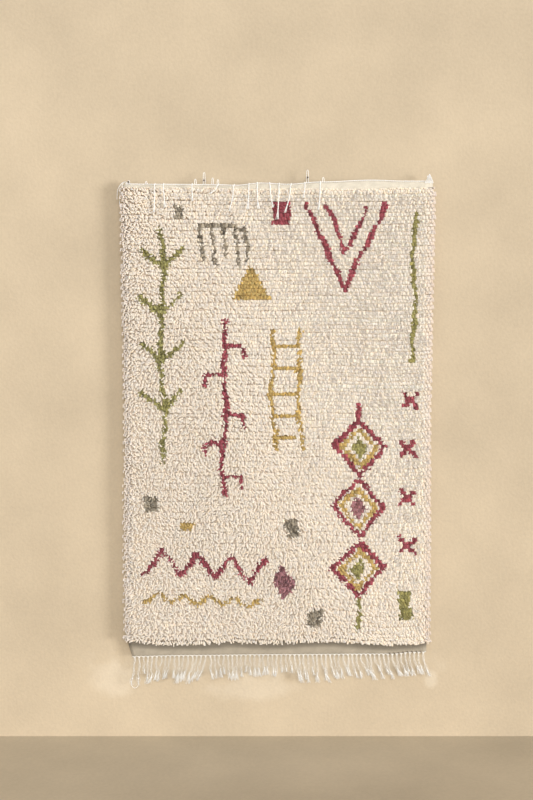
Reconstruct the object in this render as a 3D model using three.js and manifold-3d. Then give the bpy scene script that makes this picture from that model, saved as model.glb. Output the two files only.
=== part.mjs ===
// A small azilal rug, hung flat against a wall from four nails at its top edge.
// Millimetres, +Z up, +X to the right as seen from the front, +Y into the wall.
// The origin is on the wall plane, at the middle of the rug's top edge.

import * as THREE from "three";
import { mergeVertices } from "three/addons/utils/BufferGeometryUtils.js";
import Module from "manifold-3d";

const wasm = await Module();
wasm.setup();

// Driving dimensions
const clothHalf = 488;
const pileHalf = 498;
const bandSpan = { left: -495, right: 495 };
const fringeSpan = { left: -483, right: 493 };
const clothThick = 3.5;
const pileFront = 18;
const lumpHeight = 2.8;
const swellHeight = 1.2;
const pileColumns = 27;
const pileRows = 40;
const edgeSteps = 20;
const gap = 0.3;
const cordHalf = 1.6;

// Colours of the wool and of the nails
const creamWool = 0xe3d6c0;
const whiteCord = 0xf0ece2;
const darkSteel = 0x4a4642;

// Heights of the cloth's edges across the rug, in millimetres
const topEdge = [
  { x: -500, z: -9 },
  { x: -385, z: -10 },
  { x: -205, z: -11 },
  { x: -130, z: -13 },
  { x: -55, z: -6 },
  { x: 35, z: -10 },
  { x: 130, z: -3 },
  { x: 300, z: 3 },
  { x: 400, z: 0 },
  { x: 500, z: 0 },
];
const pileTop = [
  { x: -500, z: -14 },
  { x: -400, z: -16 },
  { x: -200, z: -18 },
  { x: -100, z: -21 },
  { x: 300, z: -21 },
  { x: 420, z: -19 },
  { x: 500, z: -15 },
];
const pileBottom = [
  { x: -500, z: -1512 },
  { x: -360, z: -1520 },
  { x: -250, z: -1520 },
  { x: -150, z: -1513 },
  { x: -30, z: -1518 },
  { x: 170, z: -1509 },
  { x: 350, z: -1522 },
  { x: 440, z: -1519 },
  { x: 500, z: -1511 },
];
const bandBottom = [
  { x: -500, z: -1556 },
  { x: -300, z: -1552 },
  { x: 0, z: -1549 },
  { x: 380, z: -1547 },
  { x: 450, z: -1541 },
  { x: 500, z: -1540 },
];

// Long gentle swells of the pile: their lengths across and up the rug
const swellAcross = { x: 90, z: 210 };
const swellUp = { x: -260, z: 130 };

// How the pile swells from its roots on the cloth to its tips, layer by layer
const pileLayers = [
  { depth: -1, half: clothHalf - 1, rise: -4, drop: -7 },
  { depth: 11, half: pileHalf, rise: 2, drop: 4 },
  { depth: pileFront, half: pileHalf - 6, rise: -4, drop: -2 },
];

// Locks of pile that break the straight rims
const bottomLocks = { count: 80, reach: 8, spread: 7, drift: 7, root: 9, half: 5.6, tip: 1.8 };
const sideLocks = { count: 40, reach: 3, spread: 3, sink: 8, root: 8, half: 6, tip: 2.2 };
const lockDepth = { bottom: 13, side: 11, lift: 3 };
const rimMargin = 20;

// Warp ends knotted into a fringe along the lower edge
const lowerFringe = { count: 66, length: 88, spread: 9, bunch: 3 };
const lowerDrift = { stray: 5, rightHalf: 7, corner: 9, gather: 9 };
const lowerCord = { height: 5, depth: 4.4 };

// The cord along the upper edge, and how the strands and loops stand on it
const upperCord = { height: 4, depth: 4.4, root: 2.5 };
const fallingStrand = { rise: 4.5, shoulder: 8, front: 15, clear: 2.4, overRim: 4 };
const hangingStrand = { rise: 8, nearWall: 3, offWall: 5, flick: 4 };
const loopShape = { depth: 3.4, half: 1.44, steps: 8, idleOpening: 1 };

// Half-widths along a lower strand, from its root to the end of its tassel
const lowerRows = [
  { at: 0, wide: 4.2, deep: 1.9 },
  { at: 0.07, wide: 3.6, deep: 1.9 },
  { at: 0.13, wide: cordHalf, deep: 1.4 },
  { at: 0.74, wide: cordHalf, deep: 1.4 },
  { at: 0.79, wide: 3.2, deep: 1.9 },
  { at: 0.84, wide: 2.2, deep: 1.5 },
  { at: 1, wide: 4.4, deep: 1.7 },
];

// Half-widths along an upper strand, whose last row is its tassel
const upperRows = [
  { at: 0, wide: 2.2, deep: 1.4 },
  { at: 0.2, wide: cordHalf, deep: 1.4 },
  { at: 0.4, wide: cordHalf, deep: 1.4 },
  { at: 0.6, wide: cordHalf, deep: 1.4 },
  { at: 0.8, wide: cordHalf, deep: 1.4 },
  { at: 0.86, wide: 2.6, deep: 1.8 },
  { at: 0.9, wide: 2, deep: 1.5 },
  { at: 1, wide: cordHalf, deep: 1.6 },
];

// Warp ends at the upper edge that fall forward over the pile: where each starts,
// how far it hangs below the edge, how far its end drifts sideways and its tassel
const upperStrands = [
  { x: -391, drop: 88, drift: -3, tassel: 2.4 },
  { x: -364, drop: 74, drift: 6, tassel: 4.2 },
  { x: -273, drop: 52, drift: 2, tassel: 3.6 },
  { x: -189, drop: 30, drift: -32, tassel: 2.6 },
  { x: -139, drop: 82, drift: -16, tassel: 2.6 },
  { x: -92, drop: 80, drift: -4, tassel: 5.2 },
  { x: -66, drop: 81, drift: 4, tassel: 5.2 },
  { x: -26, drop: 76, drift: 11, tassel: 2.8 },
  { x: 4, drop: 112, drift: -6, tassel: 4.6 },
  { x: 42, drop: 90, drift: -20, tassel: 3.2 },
  { x: 86, drop: 46, drift: -5, tassel: 2.4 },
  { x: 135, drop: 88, drift: -6, tassel: 4.4 },
];

// Warp ends at the upper left corner that hang outside the rug
const cornerStrands = [
  { x: -477, out: 25, drop: 66 },
  { x: -470, out: 40, drop: 46 },
];

// Nails, each between the two legs of a loop of warp that stands above the edge
const nails = [
  { x: -476, z: -1, loop: 11 },
  { x: -235, z: 4, loop: 38 },
  { x: 95, z: 13, loop: 40 },
  { x: 480, z: 13, loop: 18 },
];
const nailShape = { shank: 1.2, head: 3, reach: 12, headThick: 1.2, sides: 8 };

// Small loops of warp along the upper edge that hold nothing
const idleLoops = [
  { x: -420, height: 9 },
  { x: -263, height: 17 },
  { x: -208, height: 21 },
  { x: -191, height: 16 },
  { x: 145, height: 15 },
];

// A repeatable scatter from 0 to 1, different for each pair of whole numbers
function scatter(i, j = 0) {
  const wave = Math.sin(i * 127.1 + j * 311.7 + 5.3) * 43758.5453;
  return wave - Math.floor(wave);
}

// The height of an edge at x, eased between the rows of its table
function heightAt(rows, x) {
  const last = rows.length - 1;
  const found = rows.findIndex((row) => row.x > x);
  const next = found < 0 ? last : Math.max(found, 1);
  const from = rows[next - 1];
  const to = rows[next];
  const share = THREE.MathUtils.clamp((x - from.x) / (to.x - from.x), 0, 1);
  return THREE.MathUtils.lerp(from.z, to.z, share * share * (3 - 2 * share));
}

// A solid from a geometry, with its doubled corners merged and its flat triangles dropped
function solidFrom(geometry) {
  const bare = geometry.clone();
  bare.deleteAttribute("normal");
  bare.deleteAttribute("uv");
  const merged = mergeVertices(bare, 1e-4);
  const index = merged.index.array;
  const kept = [];
  for (let k = 0; k < index.length; k += 3) {
    const [a, b, c] = [index[k], index[k + 1], index[k + 2]];
    if (a !== b && b !== c && a !== c) {
      kept.push(a, b, c);
    }
  }
  const vertProperties = new Float32Array(merged.attributes.position.array);
  const triVerts = new Uint32Array(kept);
  return new wasm.Manifold(new wasm.Mesh({ numProp: 3, vertProperties, triVerts }));
}

function geometryFrom(solid) {
  const mesh = solid.getMesh();
  const geometry = new THREE.BufferGeometry();
  geometry.setAttribute("position", new THREE.BufferAttribute(mesh.vertProperties, 3));
  geometry.setIndex(new THREE.BufferAttribute(mesh.triVerts, 1));
  geometry.computeVertexNormals();
  return geometry;
}

function joined(solids) {
  return solids.reduce((whole, piece) => whole.add(piece));
}

// Moves every point of a geometry by a function of its place
function reshape(geometry, place) {
  const points = geometry.attributes.position;
  const point = new THREE.Vector3();
  for (let k = 0; k < points.count; k += 1) {
    point.fromBufferAttribute(points, k);
    place(point);
    points.setXYZ(k, point.x, point.y, point.z);
  }
  return geometry;
}

// A flat strip of cloth from its outline in X and Z, lying from one depth to another
function flatStrip(outline, nearWall, thickness) {
  const shape = new THREE.Shape(outline);
  const strip = new THREE.ExtrudeGeometry(shape, { depth: thickness, bevelEnabled: false });
  strip.rotateX(Math.PI / 2);
  strip.translate(0, -nearWall, 0);
  return strip;
}

// Points along an edge of the cloth, from left to right, raised by some amount
function edgePoints(rows, raised, right, left = -right) {
  return Array.from({ length: edgeSteps + 1 }, (_, k) => {
    const x = THREE.MathUtils.lerp(left, right, k / edgeSteps);
    return new THREE.Vector2(x, heightAt(rows, x) + raised);
  });
}

// A four-sided strand along a curve. Each row gives its half-widths at a share of its length:
// wide is along the side direction, deep is square to it.
function strand(curve, rows, side) {
  const sides = 4;
  const tube = new THREE.CylinderGeometry(
    Math.SQRT2, Math.SQRT2, rows.length - 1, sides, rows.length - 1, false, Math.PI / 4,
  );
  const across = new THREE.Vector3();
  const square = new THREE.Vector3();
  return reshape(tube, (point) => {
    const row = rows[Math.round((rows.length - 1) / 2 - point.y)];
    const centre = curve.getPoint(row.at);
    const tangent = curve.getTangent(row.at);
    square.crossVectors(tangent, side).normalize();
    across.crossVectors(square, tangent).normalize();
    const { x: sideways, z: outwards } = point;
    point.copy(centre);
    point.addScaledVector(across, sideways * row.wide);
    point.addScaledVector(square, outwards * row.deep);
  });
}

const alongX = new THREE.Vector3(1, 0, 0);
const alongY = new THREE.Vector3(0, 1, 0);

// Lumpy pile: a box whose layers swell outwards and whose front rises and falls
function pileSlab() {
  const layers = pileLayers.length - 1;
  const box = new THREE.BoxGeometry(1, layers, 1, pileColumns, layers, pileRows);
  return reshape(box, (point) => {
    const layer = Math.round(layers / 2 - point.y);
    const { depth, half, rise, drop } = pileLayers[layer];
    const x = point.x * 2 * half;
    const low = heightAt(pileBottom, x) - drop;
    const high = heightAt(pileTop, x) + rise;
    const z = THREE.MathUtils.lerp(low, high, point.z + 0.5);
    const column = Math.round((point.x + 0.5) * pileColumns);
    const row = Math.round((point.z + 0.5) * pileRows);
    const lump = lumpHeight * (2 * scatter(column, row) - 1);
    const acrossWave = Math.sin(x / swellAcross.x + z / swellAcross.z);
    const upWave = Math.sin(x / swellUp.x + z / swellUp.z);
    const lift = layer === layers ? lump + swellHeight * acrossWave * upWave : 0;
    point.set(x, -(depth + lift), z);
  });
}

// One lock of pile from its root inside the slab to its tip
function lock(root, tip, half, tipHalf, side) {
  const curve = new THREE.LineCurve3(root, tip);
  const rows = [
    { at: 0, wide: half, deep: half * 0.7 },
    { at: 1, wide: tipHalf, deep: tipHalf },
  ];
  return solidFrom(strand(curve, rows, side));
}

function bottomRimLocks() {
  const { count, reach, spread, drift, root, half, tip } = bottomLocks;
  const depth = lockDepth.bottom;
  return Array.from({ length: count }, (_, k) => {
    const x = ((2 * k + 1) / count - 1) * (pileHalf - 8);
    const rim = heightAt(pileBottom, x);
    const start = new THREE.Vector3(x, -depth, rim + root);
    const end = new THREE.Vector3(
      x + drift * (scatter(k, 11) - 0.5),
      -depth + lockDepth.lift - 4 * scatter(k, 12),
      rim - reach - spread * scatter(k, 13),
    );
    return lock(start, end, half * (0.85 + 0.3 * scatter(k, 14)), tip, alongX);
  });
}

// Locks along the left rim for hand -1, and along the right one for hand 1
function sideRimLocks(hand) {
  const { count, reach, spread, sink, root, half, tip } = sideLocks;
  const depth = lockDepth.side;
  const high = heightAt(pileTop, hand * pileHalf) - rimMargin;
  const low = heightAt(pileBottom, hand * pileHalf) + rimMargin;
  return Array.from({ length: count }, (_, k) => {
    const z = THREE.MathUtils.lerp(low, high, (k + 0.3 + 0.4 * scatter(k, 20 + hand)) / count);
    const out = reach + spread * scatter(k, 30 + hand);
    const start = new THREE.Vector3(hand * (pileHalf - root), -depth, z + 2);
    const end = new THREE.Vector3(hand * (pileHalf + out), -depth - 2, z - sink);
    return lock(start, end, half, tip, alongY);
  });
}

// The rug itself: pile, the plain woven bands at both ends and the locks at the rims
function rugBody() {
  const inside = 14;
  const wallDepth = 10;
  const lowerBand = flatStrip([
    ...edgePoints(bandBottom, 0, bandSpan.right, fringeSpan.left),
    ...edgePoints(pileBottom, inside, bandSpan.right, bandSpan.left).reverse(),
  ], 0, clothThick);
  const upperBand = flatStrip([
    ...edgePoints(pileTop, -inside, clothHalf),
    ...edgePoints(topEdge, 0, clothHalf).reverse(),
  ], 0, clothThick);
  const wall = new THREE.BoxGeometry(4 * pileHalf, wallDepth, 8 * pileHalf);
  wall.translate(0, wallDepth / 2, 0);
  const pile = joined([
    solidFrom(pileSlab()), ...bottomRimLocks(), ...sideRimLocks(-1), ...sideRimLocks(1),
  ]);
  return joined([pile.subtract(solidFrom(wall)), solidFrom(lowerBand), solidFrom(upperBand)]);
}

// How far a lower strand's end drifts sideways: bunch by bunch at random, to the right in the
// right half and more so at the corner, and towards the middle strand of its bunch
function endDrift(share, bunchNumber, sideOfBunch) {
  const { stray, rightHalf, corner, gather } = lowerDrift;
  const wander = stray * (2 * scatter(bunchNumber, 42) - 1);
  const rightward = rightHalf * THREE.MathUtils.smoothstep(share, 0, 0.5);
  const outward = corner * Math.max(share, 0) ** 6;
  return wander + rightward + outward + gather * scatter(bunchNumber, 43) * sideOfBunch;
}

// The knotted lower edge with its strands, parted from the cloth by the gap
function fringeAlongBottom() {
  const { count, length, spread, bunch } = lowerFringe;
  const { left, right } = fringeSpan;
  const middle = -gap - lowerCord.depth / 2;
  const strip = flatStrip([
    ...edgePoints(bandBottom, -gap - lowerCord.height, right, left),
    ...edgePoints(bandBottom, -gap, right, left).reverse(),
  ], gap, lowerCord.depth);
  const strands = Array.from({ length: count }, (_, k) => {
    const share = (2 * (k + 0.5)) / count - 1;
    const x = THREE.MathUtils.lerp(left + 1, right - 1, (k + 0.5) / count);
    const top = heightAt(bandBottom, x) - gap - lowerCord.height / 2;
    const reach = length + spread * (2 * scatter(k, 41) - 1);
    const drift = endDrift(share, Math.floor(k / bunch), 1 - (k % bunch));
    const curve = new THREE.CatmullRomCurve3([
      new THREE.Vector3(x, middle, top),
      new THREE.Vector3(x + drift * 0.1, middle, top - reach * 0.3),
      new THREE.Vector3(x + drift * 0.6, middle, top - reach * 0.7),
      new THREE.Vector3(x + drift, middle, top - reach),
    ]);
    return solidFrom(strand(curve, lowerRows, alongX));
  });
  return joined([solidFrom(strip), ...strands]);
}

// A loop of warp that rises from the upper edge and comes back down beside itself
function warpLoop(x, height, halfOpening) {
  const { half, steps } = loopShape;
  const depth = -loopShape.depth;
  const base = heightAt(topEdge, x) + upperCord.height / 2;
  const top = base + height;
  const middle = (base + top) / 2;
  const leg = halfOpening + cordHalf;
  const curve = new THREE.CatmullRomCurve3([
    new THREE.Vector3(x - leg, depth, base),
    new THREE.Vector3(x - leg, depth, middle),
    new THREE.Vector3(x - leg * 0.7, depth, top - leg * 0.6),
    new THREE.Vector3(x, depth, top),
    new THREE.Vector3(x + leg * 0.7, depth, top - leg * 0.6),
    new THREE.Vector3(x + leg, depth, middle),
    new THREE.Vector3(x + leg, depth, base),
  ]);
  const rows = Array.from({ length: steps + 1 }, (_, k) => ({ at: k / steps, wide: half, deep: half }));
  return solidFrom(strand(curve, rows, alongY));
}

// A warp end that rises over the upper edge and hangs down in front of the pile
function strandOverPile({ x, drop, drift, tassel }) {
  const { rise, shoulder, front, clear, overRim } = fallingStrand;
  const hanging = -(pileFront + lumpHeight + swellHeight + clear);
  const edge = heightAt(topEdge, x);
  const rim = heightAt(pileTop, x);
  const end = edge - drop;
  const curve = new THREE.CatmullRomCurve3([
    new THREE.Vector3(x, -upperCord.root, edge + upperCord.root),
    new THREE.Vector3(x, -shoulder, edge + rise),
    new THREE.Vector3(x, -front, edge + 1),
    new THREE.Vector3(x + drift * 0.1, hanging, rim + overRim),
    new THREE.Vector3(x + drift * 0.3, hanging, THREE.MathUtils.lerp(rim, end, 0.4)),
    new THREE.Vector3(x + drift, hanging, end),
  ]);
  const rows = upperRows.map((row) => (row.at === 1 ? { ...row, wide: tassel } : row));
  return solidFrom(strand(curve, rows, alongX));
}

// A warp end that bends over the upper left corner and hangs beside the rug
function strandBesideRug({ x, out, drop }) {
  const { rise, nearWall, offWall, flick } = hangingStrand;
  const edge = heightAt(topEdge, x);
  const curve = new THREE.CatmullRomCurve3([
    new THREE.Vector3(x, -nearWall, edge + upperCord.root),
    new THREE.Vector3(x - out * 0.55, -nearWall - 1, edge + rise),
    new THREE.Vector3(x - out, -offWall, edge - drop * 0.3),
    new THREE.Vector3(x - out - flick, -offWall, edge - drop),
  ]);
  const rows = [0, 0.2, 0.4, 0.6, 0.8, 1].map((at) => ({ at, wide: loopShape.half, deep: 1.4 }));
  return solidFrom(strand(curve, rows, alongY));
}

// The cord along the upper edge with its strands and loops
function fringeAlongTop() {
  const strip = flatStrip([
    ...edgePoints(topEdge, gap, clothHalf),
    ...edgePoints(topEdge, gap + upperCord.height, clothHalf).reverse(),
  ], gap, upperCord.depth);
  const opening = nailShape.shank + gap;
  return joined([
    solidFrom(strip),
    ...upperStrands.map(strandOverPile),
    ...cornerStrands.map(strandBesideRug),
    ...nails.map(({ x, loop }) => warpLoop(x, loop, opening)),
    ...idleLoops.map(({ x, height }) => warpLoop(x, height, loopShape.idleOpening)),
  ]);
}

// A plain round nail standing out of the wall, flush with it at its root
function nail() {
  const { shank, head, reach, headThick, sides } = nailShape;
  const profile = [
    new THREE.Vector2(0, 0),
    new THREE.Vector2(shank, 0),
    new THREE.Vector2(shank, reach),
    new THREE.Vector2(head, reach),
    new THREE.Vector2(head, reach + headThick),
    new THREE.Vector2(0, reach + headThick),
  ];
  return new THREE.LatheGeometry(profile, sides).rotateX(Math.PI);
}

const wool = new THREE.MeshStandardMaterial({ color: creamWool, roughness: 0.95, metalness: 0 });
const cord = new THREE.MeshStandardMaterial({ color: whiteCord, roughness: 0.9, metalness: 0 });
const steel = new THREE.MeshStandardMaterial({ color: darkSteel, roughness: 0.5, metalness: 1 });

function named(name, geometry, material) {
  const mesh = new THREE.Mesh(geometry, material);
  mesh.name = name;
  return mesh;
}

const group = new THREE.Group();
group.add(named("rug_body", geometryFrom(rugBody()), wool));
group.add(named("fringe_bottom", geometryFrom(fringeAlongBottom()), cord));
group.add(named("fringe_top", geometryFrom(fringeAlongTop()), cord));
nails.forEach(({ x, z }, k) => {
  const mesh = named(`nail_${k + 1}`, geometryFrom(solidFrom(nail())), steel);
  mesh.position.set(x, 0, z);
  group.add(mesh);
});

export default group;
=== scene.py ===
import math

import bpy
import numpy as np
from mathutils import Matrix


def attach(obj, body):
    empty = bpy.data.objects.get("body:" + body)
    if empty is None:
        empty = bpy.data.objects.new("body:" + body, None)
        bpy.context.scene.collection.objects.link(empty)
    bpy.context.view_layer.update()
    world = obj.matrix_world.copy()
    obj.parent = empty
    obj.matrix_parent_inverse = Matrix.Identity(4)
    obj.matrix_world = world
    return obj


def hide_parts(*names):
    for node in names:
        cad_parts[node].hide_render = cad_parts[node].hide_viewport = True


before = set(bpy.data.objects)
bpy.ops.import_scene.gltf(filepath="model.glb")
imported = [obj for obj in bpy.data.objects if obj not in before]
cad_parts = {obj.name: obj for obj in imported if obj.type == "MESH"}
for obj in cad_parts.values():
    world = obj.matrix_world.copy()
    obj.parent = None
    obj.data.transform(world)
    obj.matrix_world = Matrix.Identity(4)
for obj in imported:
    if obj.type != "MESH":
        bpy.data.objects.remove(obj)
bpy.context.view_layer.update()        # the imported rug: its bodies, nodes, joints and record
scene = bpy.context.scene
draw = np.random.default_rng(41)       # every stray of yarn comes from this one seeded draw
mm = 0.001                             # the tables below are in millimetres, the meshes in metres
print("frame loaded:", ", ".join(sorted(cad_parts)))

# Camera and light

camera = {"place": (-36, -3600, -353), "lookDown": 5.5, "lens": 50, "film": 36}
suns = [
    {"name": "window_light", "aside": 64, "above": -2, "soft": 18, "strength": 2.3,
     "colour": (1.0, 0.985, 0.96)},
    {"name": "room_light", "aside": 4, "above": 24, "soft": 26, "strength": 1.65,
     "colour": (1.0, 0.99, 0.975)},
]
backLight = {"place": (-1500, 3600, 600), "aside": -157.38, "above": 19.75, "size": 2600, "power": 40,
             "colour": (1.0, 0.98, 0.95)}
skyLight = {"colour": (1.0, 0.96, 0.91), "strength": 0.49}


# Puts the camera or a light at its place, turned by its angles, in degrees, to the right of the
# rug's front and above it
def addTurned(name, data, aside, above, place=(0, 0, 0)):
    thing = bpy.data.objects.new(name, data)
    thing.location = [v * mm for v in place]
    thing.rotation_euler = (math.radians(90 - above), 0, math.radians(aside))
    scene.collection.objects.link(thing)
    return thing


cameraData = bpy.data.cameras.new("photo_camera")
cameraData.lens = camera["lens"]
cameraData.sensor_width = camera["film"]       # along the picture's long side
cameraData.clip_end = 60
scene.camera = addTurned("photo_camera", cameraData, 0, camera["lookDown"], camera["place"])
scene.view_settings.view_transform = "Standard"
for sun in suns:
    light = bpy.data.lights.new(sun["name"], "SUN")
    light.angle = math.radians(sun["soft"])
    light.energy = sun["strength"]
    light.color = sun["colour"]
    addTurned(sun["name"], light, sun["aside"], sun["above"])
light = bpy.data.lights.new("back_light", "AREA")
light.size = backLight["size"] * mm
light.energy = backLight["power"]
light.color = backLight["colour"]
addTurned("back_light", light, backLight["aside"], backLight["above"], backLight["place"])
world = bpy.data.worlds.new("studio_sky")
world.use_nodes = True
sky = world.node_tree.nodes["Background"]
sky.inputs["Color"].default_value = (*skyLight["colour"], 1)
sky.inputs["Strength"].default_value = skyLight["strength"]
scene.world = world
print("camera and lights placed")

# Edges of the cloth and of the pile, as pairs of x and height in the frame

topEdge = [(-500, -9), (-385, -10), (-205, -11), (-130, -13), (-55, -6), (35, -10), (130, -3),
           (300, 3), (400, 0), (500, 0)]
pileTop = [(-500, -14), (-400, -16), (-200, -18), (-100, -21), (300, -21), (420, -19), (500, -15)]
pileBottom = [(-500, -1512), (-360, -1520), (-250, -1520), (-150, -1513), (-30, -1518),
              (170, -1509), (350, -1522), (440, -1519), (500, -1511)]
bandBottom = [(-500, -1556), (-300, -1552), (0, -1549), (380, -1547), (450, -1541), (500, -1540)]


# Height of a listed edge at x: between two of its points the height eases over by 3t^2 - 2t^3
def heightAt(edge, x):
    at = np.array(edge, float)
    k = np.clip(np.searchsorted(at[:, 0], x, side="right") - 1, 0, len(at) - 2)
    t = np.clip((x - at[k, 0]) / (at[k + 1, 0] - at[k, 0]), 0, 1)
    return at[k, 1] + (at[k + 1, 1] - at[k, 1]) * t * t * (3 - 2 * t)


# A repeatable stray between 0 and 1 for whole numbers i and j: the fraction of a large sine
def scatter(i, j):
    v = np.sin(np.asarray(i) * 127.1 + j * 311.7 + 5.3) * 43758.5453
    return v - np.floor(v)


# A share of 0 to 1 that eases from low to high
def easeBetween(low, high, v):
    t = np.clip((v - low) / (high - low), 0, 1)
    return t * t * (3 - 2 * t)


# Colours of the wool, red green blue out of 255, with how far one yarn strays from the next
wools = {
    "cream": {"tint": (246, 230, 212), "stray": 0.02},
    "raspberry": {"tint": (153, 78, 87), "stray": 0.24},
    "mustard": {"tint": (193, 164, 104), "stray": 0.18},
    "olive": {"tint": (150, 144, 93), "stray": 0.24},
    "grey": {"tint": (153, 143, 127), "stray": 0.3},
    "plum": {"tint": (158, 112, 116), "stray": 0.26},
}
plainTints = {"cord": (248, 246, 242), "lowCord": (244, 240, 232), "tassel": (252, 250, 245),
              "topBand": (227, 219, 202), "lowBandToneAndShade": (178, 168, 151), "gap": (112, 100, 88),
              "steel": (74, 70, 66), "rust": (85, 60, 48)}


# Light that a colour sends back, from its 0 to 255 value: ((v / 255 + 0.055) / 1.055) to the power 2.4
def linear(tint):
    return ((np.array(tint, float) / 255 + 0.055) / 1.055) ** 2.4


# Meshes

# Closed tubes, one along each path. A ring is its path's point plus
# radius * lobe * (cos(turn) * wide * side + sin(turn) * up), with side and up square to the path.
# Turn starts at roll and grows with the length gone, once round for each 1 / twist. The start closes
# with one flat face, the end with a fan to a point just past it. For the bump and for a bake each
# tube's skin is also laid out in a unit square.
def makeTubes(paths, radii, sides, across, roll=0.0, lobe=1.0, twist=0.0, wide=1.0):
    paths = np.asarray(paths, float)
    count, rings = paths.shape[:2]
    radii = np.broadcast_to(radii, (count, rings))
    steps = np.gradient(paths, axis=1)
    ahead = steps / np.linalg.norm(steps, axis=2, keepdims=True)
    across = np.broadcast_to(np.asarray(across, float), ahead.shape)
    side = across - (ahead * across).sum(2, keepdims=True) * ahead
    side /= np.linalg.norm(side, axis=2, keepdims=True)
    up = np.cross(ahead, side)
    side = side * np.reshape(wide, (-1, 1, 1))
    gone = np.linalg.norm(np.diff(paths, axis=1), axis=2).cumsum(1)
    gone = np.concatenate([np.zeros((count, 1)), gone], axis=1)
    turn = 2 * np.pi * (np.arange(sides) / sides + twist * gone[:, :, None])
    turn = turn + np.reshape(roll, (-1, 1, 1))
    reach = (radii[:, :, None] * lobe)[..., None]
    ring = np.cos(turn)[..., None] * side[:, :, None] + np.sin(turn)[..., None] * up[:, :, None]
    ring = paths[:, :, None] + reach * ring
    tip = paths[:, -1] + ahead[:, -1] * radii[:, -1:] * 0.7
    corners = np.concatenate([ring.reshape(count, -1, 3), tip[:, None]], axis=1)
    k = np.arange(sides)
    after = (k + 1) % sides
    down = (np.arange(rings - 1) * sides)[:, None]
    walls = np.stack([down + k, down + after, down + sides + after, down + sides + k], axis=2)
    last = (rings - 1) * sides
    fan = np.stack([last + k, last + after, np.full(sides, rings * sides)], axis=1)
    start = k[::-1][None]
    along = np.repeat(np.linspace(0, 1, rings), sides)
    low = 0.12 + 0.72 * np.arange(rings - 1)[:, None] / (rings - 1) + 0 * k
    high = low + 0.72 / (rings - 1)
    left = k / sides + 0 * low
    right = left + 1 / sides
    wallWrap = np.stack([np.stack([left, low], 2), np.stack([right, low], 2),
                         np.stack([right, high], 2), np.stack([left, high], 2)], axis=2)
    fanWrap = np.stack([np.stack([(k + shift) / sides, 0 * k + height], 1)
                        for shift, height in ((0, 0.84), (1, 0.84), (0.5, 0.97))], axis=1)
    angle = 2 * np.pi * k[::-1] / sides
    startWrap = np.stack([0.5 - 0.3 * np.cos(angle), 0.055 + 0.04 * np.sin(angle)], axis=1)[None]
    return {
        "corners": corners,
        "along": np.tile(np.append(along, 1.0), (count, 1)),
        "faces": [walls.reshape(-1, 4), fan, start],
        "wraps": [wallWrap.reshape(-1, 4, 2), fanWrap, startWrap],
    }


# Several sets of tubes as one mesh. Each tube gets a cell of its own in the map that a bake uses.
def joinTubes(name, sets, tints, material, slotName):
    total = sum(len(s["corners"]) for s in sets)
    cells = math.ceil(math.sqrt(total))
    corners, along, colours, indices, sizes, wraps, cellsOf = [], [], [], [], [], [], []
    base, first = 0, 0
    for part, tint in zip(sets, tints):
        count, each = part["corners"].shape[:2]
        corners.append(part["corners"].reshape(-1, 3))
        along.append(part["along"].ravel())
        tint = np.broadcast_to(np.asarray(tint, float), (count, 3))
        colours.append(np.repeat(tint, each, axis=0))
        number = np.arange(count)[:, None, None]
        for faces, wrap in zip(part["faces"], part["wraps"]):
            indices.append((base + number * each + faces[None]).reshape(-1))
            sizes.append(np.full(count * len(faces), faces.shape[1]))
            wraps.append(np.broadcast_to(wrap[None], (count, *wrap.shape)).reshape(-1, 2))
            cellsOf.append(np.repeat(first + np.arange(count), faces.size))
        base += count * each
        first += count
    wrap = np.concatenate(wraps)
    cell = np.concatenate(cellsOf)
    place = np.stack([cell % cells, cell // cells], axis=1)
    bake = (place + 0.04 + 0.92 * wrap) / cells
    return makeMesh(name, np.concatenate(corners), np.concatenate(indices), np.concatenate(sizes),
                    material, np.concatenate(colours), np.concatenate(along), wrap, bake)


# Puts worked-out arrays into a mesh and makes it a piece of the rug
def makeMesh(name, corners, indices, sizes, material, colours, along=None, wrap=None,
             bake=None, place=None, smooth=None):
    mesh = bpy.data.meshes.new(name)
    mesh.vertices.add(len(corners))
    mesh.vertices.foreach_set("co", (corners * mm).astype(np.float32).ravel())
    mesh.loops.add(len(indices))
    mesh.loops.foreach_set("vertex_index", indices.astype(np.int32))
    mesh.polygons.add(len(sizes))
    mesh.polygons.foreach_set("loop_start", (np.cumsum(sizes) - sizes).astype(np.int32))
    mesh.polygons.foreach_set("use_smooth", np.ones(len(sizes), bool) if smooth is None else smooth)
    mesh.update(calc_edges=True)
    tint = mesh.attributes.new("woolTint", "FLOAT_COLOR", "POINT")
    tint.data.foreach_set("color", np.concatenate([colours, np.ones((len(colours), 1))], axis=1).ravel())
    if along is not None:
        mesh.attributes.new("along", "FLOAT", "POINT").data.foreach_set("value", along)
    if place is not None:
        mesh.attributes.new("knotPlace", "FLOAT_VECTOR", "POINT").data.foreach_set("vector", place.ravel())
    if wrap is not None:
        mesh.uv_layers.new(name="yarnWrap").data.foreach_set("uv", wrap.ravel())
    if bake is not None:
        mesh.uv_layers.new(name="OFBake").data.foreach_set("uv", bake.ravel())
    mesh.materials.append(material)
    piece = bpy.data.objects.new(name, mesh)
    scene.collection.objects.link(piece)
    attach(piece, "root")
    return piece
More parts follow.
